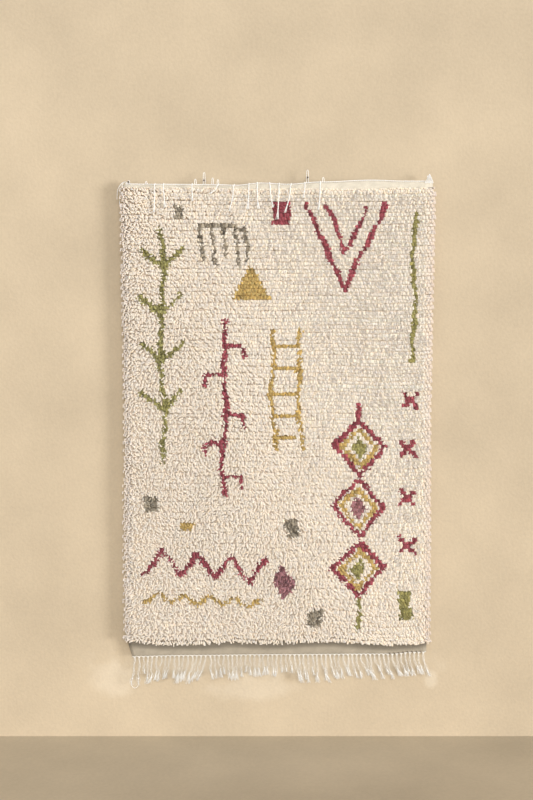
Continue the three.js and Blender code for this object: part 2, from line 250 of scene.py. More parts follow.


# Smooth paths through given points: between p1 and p2, with neighbours p0 and p3, the Catmull-Rom cubic,
# laid out again in even steps along its length
def smoothPaths(points, rings):
    points = np.asarray(points, float)
    before = 2 * points[:, :1] - points[:, 1:2]
    beyond = 2 * points[:, -1:] - points[:, -2:-1]
    padded = np.concatenate([before, points, beyond], axis=1)
    spans = points.shape[1] - 1
    at = np.linspace(0, spans, rings * 4)
    k = np.minimum(at.astype(int), spans - 1)
    t = (at - k)[None, :, None]
    p0, p1, p2, p3 = (padded[:, k + n] for n in range(4))
    fine = (2 * p1 + (p2 - p0) * t + (2 * p0 - 5 * p1 + 4 * p2 - p3) * t**2
            + (3 * p1 - p0 - 3 * p2 + p3) * t**3) / 2
    gone = np.linalg.norm(np.diff(fine, axis=1), axis=2).cumsum(1)
    gone = np.concatenate([np.zeros((len(points), 1)), gone], axis=1)
    even = np.linspace(0, 1, rings)
    return np.array([
        np.stack([np.interp(even * g[-1], g, p[:, axis]) for axis in range(3)], axis=1)
        for g, p in zip(gone, fine)
    ])


# Materials

# Feeds a node's inputs from numbers or from other nodes' outputs
def feed(node, feeds):
    for socket, source in feeds.items():
        if isinstance(source, bpy.types.NodeSocket):
            node.id_data.links.new(source, node.inputs[socket])
        else:
            node.inputs[socket].default_value = source


# A new node, with its options set and its inputs fed; its outputs come back
def addNode(tree, kind, feeds=None, **options):
    node = tree.nodes.new(kind)
    for option, value in options.items():
        setattr(node, option, value)
    feed(node, feeds or {})
    return node.outputs


# One step of arithmetic on numbers, and the same on vectors
def reckon(tree, operation, *values):
    return addNode(tree, "ShaderNodeMath", dict(enumerate(values)), operation=operation)[0]


def reckonVector(tree, operation, *values):
    return addNode(tree, "ShaderNodeVectorMath", dict(enumerate(values)), operation=operation)[0]


# A tint times a level
def scaled(tree, tint, level):
    return addNode(tree, "ShaderNodeVectorMath", {0: tint, "Scale": level}, operation="SCALE")[0]


# A value between low and high, carried over to the range between toLow and toHigh
def mapped(tree, value, low, high, toLow, toHigh):
    return addNode(tree, "ShaderNodeMapRange", {"Value": value, "From Min": low, "From Max": high,
                                                "To Min": toLow, "To Max": toHigh})[0]


def noise(tree, place, scale, detail):
    return addNode(tree, "ShaderNodeTexNoise", {"Vector": place, "Scale": scale, "Detail": detail})["Fac"]


def bumped(tree, height, strength, distance):
    return addNode(tree, "ShaderNodeBump",
                   {"Strength": strength, "Distance": distance, "Height": height})[0]


# A new node group with named inputs and outputs
def newGroup(name, inputs, outputs):
    group = bpy.data.node_groups.new(name, "ShaderNodeTree")
    for socket, kind, value in inputs:
        given = group.interface.new_socket(socket, in_out="INPUT", socket_type=f"NodeSocket{kind}")
        given.default_value = value
    for socket, kind in outputs:
        group.interface.new_socket(socket, in_out="OUTPUT", socket_type=f"NodeSocket{kind}")
    return group, group.nodes.new("NodeGroupInput").outputs, group.nodes.new("NodeGroupOutput")


# Wool that isn't one even colour: the tint times 1 + 2 * (fleck * (fine - 0.5) + patch * (slow - 0.5)),
# with a fine noise and a slow one
def makeHeather():
    group, given, result = newGroup(
        "heatheredWool",
        [("Tint", "Color", (0.8, 0.7, 0.6, 1)), ("Fleck Scale", "Float", 700), ("Fleck", "Float", 0.12),
         ("Patch Scale", "Float", 9), ("Patch", "Float", 0.04)],
        [("Tint", "Color"), ("Roughness", "Float"), ("Fleck", "Float")])
    place = addNode(group, "ShaderNodeTexCoord")["Object"]
    fine = noise(group, place, given["Fleck Scale"], 2)
    slow = noise(group, place, given["Patch Scale"], 2)
    fleck = reckon(group, "MULTIPLY", reckon(group, "SUBTRACT", fine, 0.5), given["Fleck"])
    patch = reckon(group, "MULTIPLY", reckon(group, "SUBTRACT", slow, 0.5), given["Patch"])
    level = reckon(group, "MULTIPLY_ADD", reckon(group, "ADD", fleck, patch), 2.0, 1.0)
    feed(result, {"Tint": scaled(group, given["Tint"], level), "Fleck": fine,
                  "Roughness": mapped(group, fine, 0, 1, 0.82, 0.98)})
    return group


# Height of a spun yarn: sin(2 pi (strands * around + turns * along))
def makeSpin():
    group, given, result = newGroup(
        "spunYarn", [("Wrap", "Vector", (0, 0, 0)), ("Strands", "Float", 2), ("Turns", "Float", 3)],
        [("Height", "Float")])
    parts = addNode(group, "ShaderNodeSeparateXYZ", {0: given["Wrap"]})
    around = reckon(group, "MULTIPLY", parts["X"], given["Strands"])
    turned = reckon(group, "MULTIPLY_ADD", parts["Y"], given["Turns"], around)
    feed(result, {"Height": reckon(group, "SINE", reckon(group, "MULTIPLY", turned, 2 * math.pi))})
    return group


# Height of the woven ground: 1 less relief * (1 - sqrt(|sin(pi column)| * |sin(pi row)|)),
# one bump for each knot or crossing, with the relief as the third part of the place
def makeWeave():
    group, given, result = newGroup(
        "wovenGround", [("Place", "Vector", (0, 0, 0)), ("Columns", "Float", 1), ("Rows", "Float", 1)],
        [("Height", "Float")])
    parts = addNode(group, "ShaderNodeSeparateXYZ", {0: given["Place"]})
    waves = []
    for axis, many in (("X", "Columns"), ("Y", "Rows")):
        angle = reckon(group, "MULTIPLY", reckon(group, "MULTIPLY", parts[axis], given[many]), math.pi)
        waves.append(reckon(group, "ABSOLUTE", reckon(group, "SINE", angle)))
    root = reckon(group, "POWER", reckon(group, "MULTIPLY", *waves), 0.5)
    less = reckon(group, "SUBTRACT", root, 1.0)
    feed(result, {"Height": reckon(group, "MULTIPLY_ADD", less, parts["Z"], 1.0)})
    return group


heatheredWool = makeHeather()
spunYarn = makeSpin()
wovenGround = makeWeave()


# A material with its Principled shader, whose even values are set on the shader itself
def newMaterial(name, **values):
    material = bpy.data.materials.new(name)
    material.use_nodes = True
    shader = material.node_tree.nodes["Principled BSDF"]
    feed(shader, {socket.replace("_", " "): value for socket, value in values.items()})
    return material, material.node_tree, shader


# What a mesh says at each of its points: the wool's tint, the share of the yarn's length or the
# knot's place
def attribute(tree, name, kind):
    return addNode(tree, "ShaderNodeAttribute", attribute_name=name)[kind]


# Loose wool yarn: the tint of each yarn with painted shade that darkens it towards its root, heathered,
# with the spin as a bump. The normal is the bumped one less fluff along y, made unit long, as loose fibres
# send light back to the front.
def makeYarnWool(name, rootShade, turns, fleck, bumpStrength, soft, softScale, fluff):
    material, tree, shader = newMaterial(name, Sheen_Weight=0.25, Sheen_Roughness=0.5,
                                         Specular_IOR_Level=0.15, Subsurface_Weight=soft,
                                         Subsurface_Radius=(1.0, 0.9, 0.75), Subsurface_Scale=softScale)
    # painted shade: the tint falls to rootShade at the yarn's root
    shade = mapped(tree, attribute(tree, "along", "Fac"), 0.1, 0.75, rootShade, 1.0)
    paintedShadeTint = scaled(tree, attribute(tree, "woolTint", "Color"), shade)
    wool = addNode(tree, "ShaderNodeGroup", {"Tint": paintedShadeTint, "Fleck": fleck}, node_tree=heatheredWool)
    wrap = addNode(tree, "ShaderNodeUVMap", uv_map="yarnWrap")["UV"]
    spin = addNode(tree, "ShaderNodeGroup", {"Wrap": wrap, "Turns": turns}, node_tree=spunYarn)
    height = reckon(tree, "MULTIPLY_ADD", wool["Fleck"], 0.8, spin["Height"])
    fluffy = reckonVector(tree, "ADD", bumped(tree, height, bumpStrength, 0.0008), (0, -fluff, 0))
    feed(shader, {"Base Color": wool["Tint"], "Roughness": wool["Roughness"],
                  "Normal": reckonVector(tree, "NORMALIZE", fluffy)})
    return material


# The flat ground: wool and warp crossing, bumped knot by knot, with painted shade darkening its tint in the
# hollows between knots
def makeGroundWool():
    material, tree, shader = newMaterial("ground_wool", Sheen_Weight=0.15, Specular_IOR_Level=0.15)
    weave = addNode(tree, "ShaderNodeGroup", {"Place": attribute(tree, "knotPlace", "Vector"),
                                              "Columns": 2, "Rows": 2}, node_tree=wovenGround)["Height"]
    # painted shade: the tint falls to 0.55 in the weave's hollows
    paintedShadeTint = scaled(tree, attribute(tree, "woolTint", "Color"), mapped(tree, weave, 0, 0.9, 0.55, 1.0))
    wool = addNode(tree, "ShaderNodeGroup", {"Tint": paintedShadeTint}, node_tree=heatheredWool)
    height = reckon(tree, "MULTIPLY_ADD", wool["Fleck"], 0.3, weave)
    feed(shader, {"Base Color": wool["Tint"], "Roughness": wool["Roughness"],
                  "Normal": bumped(tree, height, 0.8, 0.0018)})
    return material


# Dark steel with dull spots where it has begun to rust
def makeNailSteel():
    material, tree, shader = newMaterial("nail_steel", Metallic=0.8)
    spots = noise(tree, addNode(tree, "ShaderNodeTexCoord")["Object"], 900, 4)
    ramp = tree.nodes.new("ShaderNodeValToRGB")
    feed(ramp, {0: spots})
    for stop, position, tint in zip(ramp.color_ramp.elements, (0.42, 0.66), ("steel", "rust")):
        stop.position = position
        stop.color = (*linear(plainTints[tint]), 1)
    feed(shader, {"Base Color": ramp.outputs["Color"], "Roughness": mapped(tree, spots, 0, 1, 0.3, 0.75)})
    return material


pileWool = makeYarnWool("pile_wool", rootShade=0.92, turns=1.6, fleck=0.08, bumpStrength=0.25,
                        soft=0.6, softScale=0.004, fluff=0.5)
cordWool = makeYarnWool("cord_wool", rootShade=1.0, turns=9, fleck=0.08, bumpStrength=0.3,
                        soft=0.15, softScale=0.001, fluff=0.6)
groundWool = makeGroundWool()
nailSteel = makeNailSteel()
print("materials made")

# The design: made-up motifs in the way of such rugs. A stroke has its wool, its width and its path,
# a patch its wool and its corners. Paths run in x from the middle and in depth below the upper edge.


# Corners of an upright lozenge
def lozenge(x, down, halfWide, halfTall):
    return [(x, down - halfTall), (x + halfWide, down), (x, down + halfTall), (x - halfWide, down)]


# The same corners as a closed path
def lozengeLine(*place):
    corners = lozenge(*place)
    return corners + corners[:1]


# A path with teeth, from its first to its last point by turns above and below the line
def zigzag(start, end, teeth, height):
    share = np.arange(teeth + 1) / teeth
    x = start[0] + (end[0] - start[0]) * share
    down = start[1] + (end[1] - start[1]) * share + height * (-1.0) ** np.arange(teeth + 1)
    return list(zip(x, down))


strokes = [
    {"wool": "olive", "wide": 15,
     "path": [(-376, 150), (-368, 330), (-381, 520), (-366, 700), (-372, 900)]},
    {"wool": "raspberry", "wide": 15, "path": [(86, 66), (150, 190), (214, 340), (276, 200), (350, 62)]},
    {"wool": "raspberry", "wide": 13, "path": [(150, 70), (184, 140), (215, 222), (250, 142), (283, 70)]},
    {"wool": "grey", "wide": 12, "path": [(-250, 132), (-96, 140)]},
    {"wool": "raspberry", "wide": 14,
     "path": [(-170, 436), (-178, 560), (-166, 700), (-182, 850), (-170, 1010)]},
    {"wool": "raspberry", "wide": 15, "path": zigzag((-438, 1225), (-36, 1262), 7, 40)},
    {"wool": "mustard", "wide": 12, "path": zigzag((-430, 1350), (-60, 1368), 9, 14)},
    {"wool": "mustard", "wide": 13, "path": [(-14, 470), (-20, 640), (-10, 860)]},
    {"wool": "mustard", "wide": 13, "path": [(74, 462), (66, 640), (78, 852)]},
    {"wool": "olive", "wide": 13, "path": [(440, 90), (428, 200), (444, 330), (431, 470), (438, 560)]},
    {"wool": "raspberry", "wide": 15, "path": [(262, 700), (268, 760)]},
    {"wool": "olive", "wide": 13, "path": [(268, 1350), (262, 1450)]},
]
for down in (270, 420, 572, 730):
    branch = [(-438, down - 60), (-374, down), (-310, down - 66)]
    strokes.append({"wool": "olive", "wide": 13, "path": branch})
for n, x in enumerate((-246, -206, -168, -130, -98)):
    strokes.append({"wool": "grey", "wide": 12, "path": [(x, 138), (x + 4, 236 + 22 * (n % 2))]})
for down, end in ((520, -116), (610, -232), (742, -116), (838, -232), (944, -116)):
    strokes.append({"wool": "raspberry", "wide": 12, "path": [(-174, down), (end, down), (end, down + 34)]})
for down in (520, 596, 676, 752, 822):
    strokes.append({"wool": "mustard", "wide": 12, "path": [(-16, down), (72, down - 6)]})
for down, outer in ((846, 88), (1044, 96), (1250, 90)):
    strokes.append({"wool": "raspberry", "wide": 15, "path": lozengeLine(266, down, 84, outer)})
    strokes.append({"wool": "mustard", "wide": 14, "path": lozengeLine(266, down, 58, outer * 0.68)})
for down in (690, 850, 1010, 1170):
    for start, end in ((402, 446), (446, 402)):
        strokes.append({"wool": "raspberry", "wide": 12, "path": [(start, down - 22), (end, down + 22)]})

patches = [
    {"wool": "olive", "corners": lozenge(266, 846, 26, 38)},
    {"wool": "plum", "corners": lozenge(266, 1044, 28, 42)},
    {"wool": "olive", "corners": lozenge(266, 1250, 26, 38)},
    {"wool": "mustard", "corners": [(-92, 250), (-20, 372), (-150, 368)]},
    {"wool": "raspberry", "corners": [(-20, 60), (34, 60), (34, 128), (-20, 128)]},
    {"wool": "grey", "corners": [(-440, 1010), (-398, 1010), (-398, 1062), (-440, 1062)]},
    {"wool": "grey", "corners": [(96, 1392), (142, 1392), (142, 1444), (96, 1444)]},
    {"wool": "grey", "corners": [(20, 1090), (58, 1080), (66, 1142), (26, 1150)]},
    {"wool": "plum", "corners": lozenge(20, 1300, 40, 62)},
    {"wool": "mustard", "corners": [(-318, 1096), (-272, 1096), (-272, 1120), (-318, 1120)]},
    {"wool": "olive", "corners": [(400, 1330), (440, 1330), (440, 1420), (400, 1420)]},
    {"wool": "grey", "corners": [(-330, 70), (-300, 70), (-306, 112), (-326, 112)]},
]
handSway = {"across": 4.5, "down": 3.0, "thick": 0.22}


# Distance of each point from a path: the least, over its stretches, of the way to the nearest point
def distanceTo(path, x, down):
    least = np.full(x.shape, np.inf)
    for (x0, d0), (x1, d1) in zip(path[:-1], path[1:]):
        long = (x1 - x0) ** 2 + (d1 - d0) ** 2
        t = np.clip(((x - x0) * (x1 - x0) + (down - d0) * (d1 - d0)) / long, 0, 1)
        least = np.minimum(least, np.hypot(x - x0 - t * (x1 - x0), down - d0 - t * (d1 - d0)))
    return least


# Points inside a convex shape: they lie on the same side of each of its edges
def insideOf(corners, x, down):
    turns = [(x1 - x0) * (down - d0) - (d1 - d0) * (x - x0)
             for (x0, d0), (x1, d1) in zip(corners, corners[1:] + corners[:1])]
    return np.all(np.array(turns) > 0, axis=0) | np.all(np.array(turns) < 0, axis=0)


# The wool of each knot, as its number in the table of wools. The places sway by two sines,
# as a hand that ties row after row strays from the line.
def paintKnots(x, z):
    names = list(wools)
    wool = np.zeros(x.shape, int)
    down = -z + handSway["down"] * np.sin(x / 29 + 1.7)
    swayed = x + handSway["across"] * np.sin(z / 41 + x / 170) + 2 * np.sin(z / 13.7)
    thick = 1 + handSway["thick"] * np.sin(z / 23 + x / 31)
    for patch in patches:
        wool[insideOf(patch["corners"], swayed, down)] = names.index(patch["wool"])
    for stroke in strokes:
        near = distanceTo(stroke["path"], swayed, down) < stroke["wide"] * thick / 2
        wool[near] = names.index(stroke["wool"])
    return wool


# The pile

pile = {
    "columns": 139, "rows": 124, "half": 486, "pieces": 5,
    "lowest": 14,            # how far the lowest roots lie inside the pile's edge
    "stagger": 0.22, "rowStray": 0.05, "endsApart": 3.5, "endsDown": 4, "topUp": 3.5,
    "rootDepth": 6, "crestDepth": 13.2, "tipDepth": 17.2, "crestDrop": 1.8, "fall": 9.5,
    "radius": 2.8, "plump": 1.9, "widen": 0.85, "taper": (0.7, 1.0, 0.94),
    "crestAside": 2.2, "leanShare": 1.3, "upright": 0.6, "uprightShare": 0.25,
}
unruly = {"middle": 0.66, "swing": 0.36, "reach": 300, "height": -750}
yarnStray = {"x": 0.8, "z": 1.2, "swell": 0.8, "fall": 1.2, "tip": 0.5, "lean": 0.75, "thick": 0.08,
             "hue": 0.012, "roll": 1.2}
# Levels of the pile's tints: lower where the pile is ruffled, with painted shade at its sides and more at
# its right side
pileLight = {"combed": 1.03, "ruffled": 0.09, "side": 0.12, "right": 0.2, "limit": 2.2, "most": 0.93}
rugSides = {    # how far the pile's sides stand from the middle, as pairs of height and width
    "left": [(-1512, 509), (-1365, 509), (-1160, 508), (-960, 505), (-770, 502), (-570, 500), (-88, 504)],
    "right": [(-1512, 505), (-1430, 504), (-1095, 501), (-765, 496), (-440, 498), (-120, 501)],
}
sideRim = {"from": 468, "spillFrom": 420, "clear": 6, "out": 6, "lean": 0.08, "tuck": 0.05, "flatten": 0.35}
lock = {"pitch": 12, "rows": 2, "outward": 0.45, "reach": 2.2, "gather": 2.0}    # along the lower rim
hueShift = {    # of red, green and blue: from yarn to yarn, where the pile is ruffled, and at its sides a cooler painted shade
    "yarn": np.array([1.0, 0.1, -1.4]), "ruffled": np.array([-0.04, 0.03, 0.1]),
    "side": np.array([-0.01, 0.01, 0.08]),
}


# Where the knots sit on the cloth: columns at even steps, every second row a little over, and rows
# at their share of the height between the pile's lower and upper edges, on a faint wave
def knotPlaces():
    column, row = np.meshgrid(np.arange(pile["columns"]), np.arange(pile["rows"]))
    step = 2 * pile["half"] / pile["columns"]
    x = -pile["half"] + (column + 0.5 + pile["stagger"] * (-1.0) ** row) * step
    low = heightAt(pileBottom, x) + pile["lowest"]
    high = heightAt(pileTop, x)
    stray = draw.normal(0, pile["rowStray"], pile["rows"])[row]
    z = low + (high - low) * (row + 0.5 + stray) / pile["rows"] + 1.1 * np.sin(x / 47 + row * 2.4)
    return x, z


knotX, knotZ = knotPlaces()
knotWool = paintKnots(knotX, knotZ)
woolTints = np.array([linear(w["tint"]) for w in wools.values()])
woolStrays = np.array([w["stray"] for w in wools.values()])
rowShade = 1 + draw.normal(0, 0.012, pile["rows"])      # faint bands, as one batch of wool follows another


# How the yarn ends lean to the side of straight down, in radians: three slow sines
def leanField(x, z):
    return (0.30 * np.sin(x / 83 + z / 151 + 1.1) + 0.22 * np.sin(x / 37 - z / 61)
            + 0.16 * np.sin(x / 19 + z / 29 + 2) + 0.12)


# How untidy the pile lies, from combed at the upper right to ruffled at the lower left: a middle
# less a swing by the hyperbolic tangent of the way across
def unrestField(x, z):
    across = x + 0.5 * (z - unruly["height"])
    return unruly["middle"] - unruly["swing"] * np.tanh(across / unruly["reach"])


# How far the pile swells outwards: two products of sines, one slow and one quick
def swellField(x, z):
    return (1.2 * np.sin(x / 90 + z / 210) * np.sin(x / -260 + z / 130)
            + 0.8 * np.sin(x / 24 + 1.3 * np.sin(z / 31)) * np.sin(z / 21 + 0.7))


# Two cut yarn ends stand on each knot. Each path goes out from the ground to a crest and droops to
# its tip, leaning to the side by its angle. Where the pile is combed the ends are plump and wide,
# with their flat sides forward, and where it's ruffled each strays by its own share. At the sides
# the crests stand out to the rug's edge and the tips hang straight, and along the lower rim two
# waves, a quarter apart, gather the tips in locks. Some ends of the top row stand up.
def makePile():
    p = pile
    row = np.repeat(np.arange(p["rows"]), p["columns"] * 2)
    x, z = np.repeat(knotX.ravel(), 2), np.repeat(knotZ.ravel(), 2)
    second = np.tile([0, 1], knotX.size)
    count = len(x)
    unrest = unrestField(x, z)

    # How far each yarn strays at random: its share in the table times unrest^growth
    def stray(part, growth=1.0):
        return yarnStray[part] * unrest**growth * draw.normal(0, 1, count)

    x = x + (second - 0.5) * p["endsApart"] + stray("x")
    topRow = (row == p["rows"] - 1) & (second == 1)
    z = z + np.where(topRow, p["topUp"], -second * unrest * p["endsDown"]) + stray("z")
    rim = np.clip((np.abs(x) - sideRim["from"]) / (p["half"] - sideRim["from"]), 0, 1) * np.sign(x)
    left, right = (np.interp(z, *np.transpose(rugSides[side])) for side in ("left", "right"))
    spill = (np.where(x < 0, left, right) - p["half"] - sideRim["clear"]) * np.sign(x)
    near = np.clip((np.abs(x) - sideRim["spillFrom"]) / (p["half"] - sideRim["spillFrom"]), 0, 1)
    spill = spill * near**1.5
    lean = (p["leanShare"] * leanField(x, z) + yarnStray["lean"] * draw.normal(0, 1, count)) * unrest
    lean = lean * (1 - np.abs(rim)) + rim * sideRim["lean"]
    swell = swellField(x, z) + stray("swell", 1.5) - unrest * second
    fall = p["fall"] * (1 - 0.1 * second) * (1.09 - 0.3 * unrest) + stray("fall")
    flatten = 1 - sideRim["flatten"] * np.abs(rim) ** 2
    crestY = -(p["crestDepth"] + swell) * flatten
    tipY = -(p["tipDepth"] + swell) * flatten + stray("tip")
    upright = topRow & (draw.random(count) < p["upright"])
    fall = np.where(upright, -fall * p["uprightShare"], fall)
    lowRim = np.clip((lock["rows"] + 0.5 - row) / lock["rows"], 0, 1)
    wave = 2 * np.pi * (x / lock["pitch"] + 0.35 * np.sin(x / 53))
    lean += lowRim * lock["outward"] * x / p["half"]
    fall += lowRim * lock["reach"] * np.cos(wave)
    crestX = x + np.sin(lean) * p["crestAside"] + rim * sideRim["out"] + spill
    tipX = crestX + np.sin(lean) * np.abs(fall) - sideRim["tuck"] * spill
    tipX = tipX - lowRim * lock["gather"] * np.sin(wave)
    crestZ = z - p["crestDrop"]
    paths = np.stack([
        np.stack([x, np.full(count, -p["rootDepth"]), z], 1),
        np.stack([crestX, crestY, crestZ], 1),
        np.stack([tipX, tipY, crestZ - np.cos(lean) * fall], 1),
    ], axis=1)
    thick = (p["radius"] + p["plump"] * (1 - unrest)) * (1 - 0.08 * second)
    thick = thick * (1 + draw.normal(0, yarnStray["thick"], count))
    radii = thick[:, None] * np.array(p["taper"])
    wool = paintKnots(x, z)
    strays = draw.normal(0, 1, count).clip(-pileLight["limit"], pileLight["limit"])
    light = (1 + woolStrays[wool] * strays) * (pileLight["combed"] - pileLight["ruffled"] * unrest)
    # painted shade: the tints darken at the pile's sides, and more at its right side
    shaded = 1 - pileLight["side"] * np.abs(rim) - pileLight["right"] * rim.clip(0)
    light = light * shaded * rowShade[row]
    hue = 1 + draw.normal(0, yarnStray["hue"], (count, 1)) * hueShift["yarn"]
    hue = hue + (unrest - unruly["middle"])[:, None] * hueShift["ruffled"]
    # painted shade: the tints turn cooler at the pile's sides
    hue = hue + np.abs(rim)[:, None] * hueShift["side"]
    tints = (woolTints[wool] * light[:, None] * hue).clip(0, pileLight["most"])
    roll = np.pi / 4 + unrest**2 * draw.normal(0, yarnStray["roll"], count)
    wide = 1 + p["widen"] * (1 - unrest).clip(0)
    edges = np.linspace(0, p["rows"], p["pieces"] + 1).astype(int)
    pieces = []
    for k, (low, high) in enumerate(zip(edges[:-1], edges[1:])):
        mine = (row >= low) & (row < high)
        tubes = makeTubes(paths[mine], radii[mine], 4, (1, 0, 0), roll=roll[mine], wide=wide[mine])
        pieces.append(joinTubes(f"pile_rows_{k + 1}", [tubes], [tints[mine]], pileWool, "pile_wool"))
    return pieces


pilePieces = makePile()
print("pile tied:", knotX.size * 2, "yarn ends")

# The woven ground with its plain bands

ground = {
    "half": 495, "front": 3.4, "back": 0.3, "underPile": 11.4, "underRuffled": 2.8,
    "topDepths": [8.4, 7, 5.2, 4.4], "topRows": 5, "bandRows": 8, "bandRibs": 2, "bandRelief": 0.35,
    "paintedShadeBehindPile": 0.92, "rimShade": 0.5, "shadeFrom": 4, "shadeTo": 20, "mottle": 0.055,
    "slant": 13, "slantFrom": -1512, "slantOver": 44, "slantTo": -430,    # of the band's left end
}


# A closed cloth from its front and back grids: rows of quads on each, and a narrow wall round the rim
def closeCloth(rows, columns):
    number = np.arange(rows * columns).reshape(rows, columns)
    behind = number + rows * columns

    def quads(a, b, c, d):
        return np.stack([a.ravel(), b.ravel(), c.ravel(), d.ravel()], axis=1)

    return np.concatenate([
        quads(number[:-1, :-1], number[:-1, 1:], number[1:, 1:], number[1:, :-1]),
        quads(behind[:-1, :-1], behind[1:, :-1], behind[1:, 1:], behind[:-1, 1:]),
        quads(behind[0, :-1], behind[0, 1:], number[0, 1:], number[0, :-1]),
        quads(number[-1, :-1], number[-1, 1:], behind[-1, 1:], behind[-1, :-1]),
        quads(behind[:-1, 0], number[:-1, 0], number[1:, 0], behind[1:, 0]),
        quads(number[:-1, -1], behind[:-1, -1], behind[1:, -1], number[1:, -1]),
    ])


# The ground's grid has a corner at each knot, so that its back shows every knot's wool. The band's rows go
# by even shares from its lower edge to the first knots, the top rows from the last knots to the upper edge.
# The front stands out under the pile and slopes back above it. The band is mottled by two sines, and
# painted shade darkens it towards the pile above it.
def makeGround():
    low, high = knotZ[0], knotZ[-1]
    x = np.concatenate([[-ground["half"]], knotX.mean(0), [ground["half"]]])
    rowsZ = np.interp(x, knotX[0], low), np.interp(x, knotX[-1], high)
    inner = np.array([np.interp(x, kx, kz) for kx, kz in zip(knotX, knotZ)])
    bottom = heightAt(bandBottom, x) + 0.2
    top = heightAt(topEdge, x)
    share = np.arange(ground["bandRows"])[:, None] / ground["bandRows"]
    bandZ = bottom + (rowsZ[0] - bottom) * share
    share = (np.arange(ground["topRows"])[:, None] + 1) / ground["topRows"]
    topZ = rowsZ[1] + (top - rowsZ[1]) * share
    z = np.concatenate([bandZ, inner, topZ])
    across = np.broadcast_to(x, z.shape)
    slant = ground["slant"] * np.clip((ground["slantFrom"] - z) / ground["slantOver"], 0, 1)
    across = across + slant * easeBetween(ground["slantTo"], -ground["half"], across)
    rows, columns = z.shape
    front = np.full(z.shape, -ground["front"])
    raised = ground["underPile"] - ground["underRuffled"] * unrestField(across, z)
    within = slice(ground["bandRows"] + 1, -ground["topRows"]), slice(2, -2)
    front[within] = -raised[within]
    wavy = 0.6 * np.sin(x / 17 + 2 * np.sin(x / 61)) * np.sin(x / 7.3 + 1)
    front[-ground["topRows"]:-1, 2:-2] = -np.array(ground["topDepths"])[:, None] - wavy[2:-2]
    corners = np.concatenate([
        np.stack([across, front, z], 2).reshape(-1, 3),
        np.stack([across, np.full(z.shape, -ground["back"]), z], 2).reshape(-1, 3),
    ])
    faces = closeCloth(rows, columns)
    wool = np.pad(knotWool, ((0, 0), (1, 1)), mode="edge")
    knots = woolTints[wool]
    # the lower band's tint is partly its own duller wool and partly painted shade
    lowBandToneAndShade, topBand = linear(plainTints["lowBandToneAndShade"]), linear(plainTints["topBand"])
    backTint = np.concatenate([np.broadcast_to(lowBandToneAndShade, (ground["bandRows"], columns, 3)), knots,
                               np.broadcast_to(topBand, (ground["topRows"], columns, 3))])
    frontTint = backTint.copy()
    # painted shade: the ground's front behind the pile is darkened
    frontTint[ground["bandRows"]:-ground["topRows"]] *= ground["paintedShadeBehindPile"]
    # painted shade: the band darkens to rimShade just below the pile's rim
    below = heightAt(pileBottom, x) - z[:ground["bandRows"]]
    shade = easeBetween(ground["shadeFrom"], ground["shadeTo"], below)
    frontTint[:ground["bandRows"]] *= (ground["rimShade"] + (1 - ground["rimShade"]) * shade)[..., None]
    blotch = np.sin(across / 11 + 2 * np.sin(z / 9)) * np.sin(across / 31 - z / 7)
    blotch = blotch + draw.normal(0, 0.5, z.shape)
    frontTint *= 1 + ground["mottle"] * blotch[..., None]
    tints = np.concatenate([frontTint.reshape(-1, 3), backTint.reshape(-1, 3)])
    knotRow = np.ones(rows)
    knotRow[:ground["bandRows"]] = knotRow[-ground["topRows"]:] = ground["bandRibs"]
    relief = np.where(knotRow > 1, ground["bandRelief"], 1.0)
    column, row = np.meshgrid(np.arange(columns), np.cumsum(knotRow))
    place = np.stack([column, row, np.broadcast_to(relief[:, None], z.shape)], 2).reshape(-1, 3)
    sheets = 2 * (rows - 1) * (columns - 1)
    number = faces % (rows * columns)
    behind = (faces >= rows * columns) * 1.0
    u, v = number % columns / (columns - 1), number // columns / (rows - 1)
    rim = np.arange(len(faces))[:, None] >= sheets
    ends, sides = columns - 1, rows - 1
    strip = np.repeat([0.96, 0.97, 0.98, 0.99], [ends, ends, sides, sides])[:, None]
    alongRim = np.where(strip < 0.975, u[sheets:], v[sheets:])
    bake = np.stack([u, 0.01 + 0.46 * v + 0.47 * behind], 2)
    bake[sheets:] = np.stack([alongRim, strip + 0.006 * behind[sheets:]], 2)
    return makeMesh("woven_ground", corners, faces.ravel(), np.full(len(faces), 4), groundWool,
                    tints, place=np.concatenate([place, place]),
                    bake=bake.reshape(-1, 2), smooth=~rim[:, 0])


groundPiece = makeGround()
print("ground woven")

# Cords, knots and tassels of the two fringes

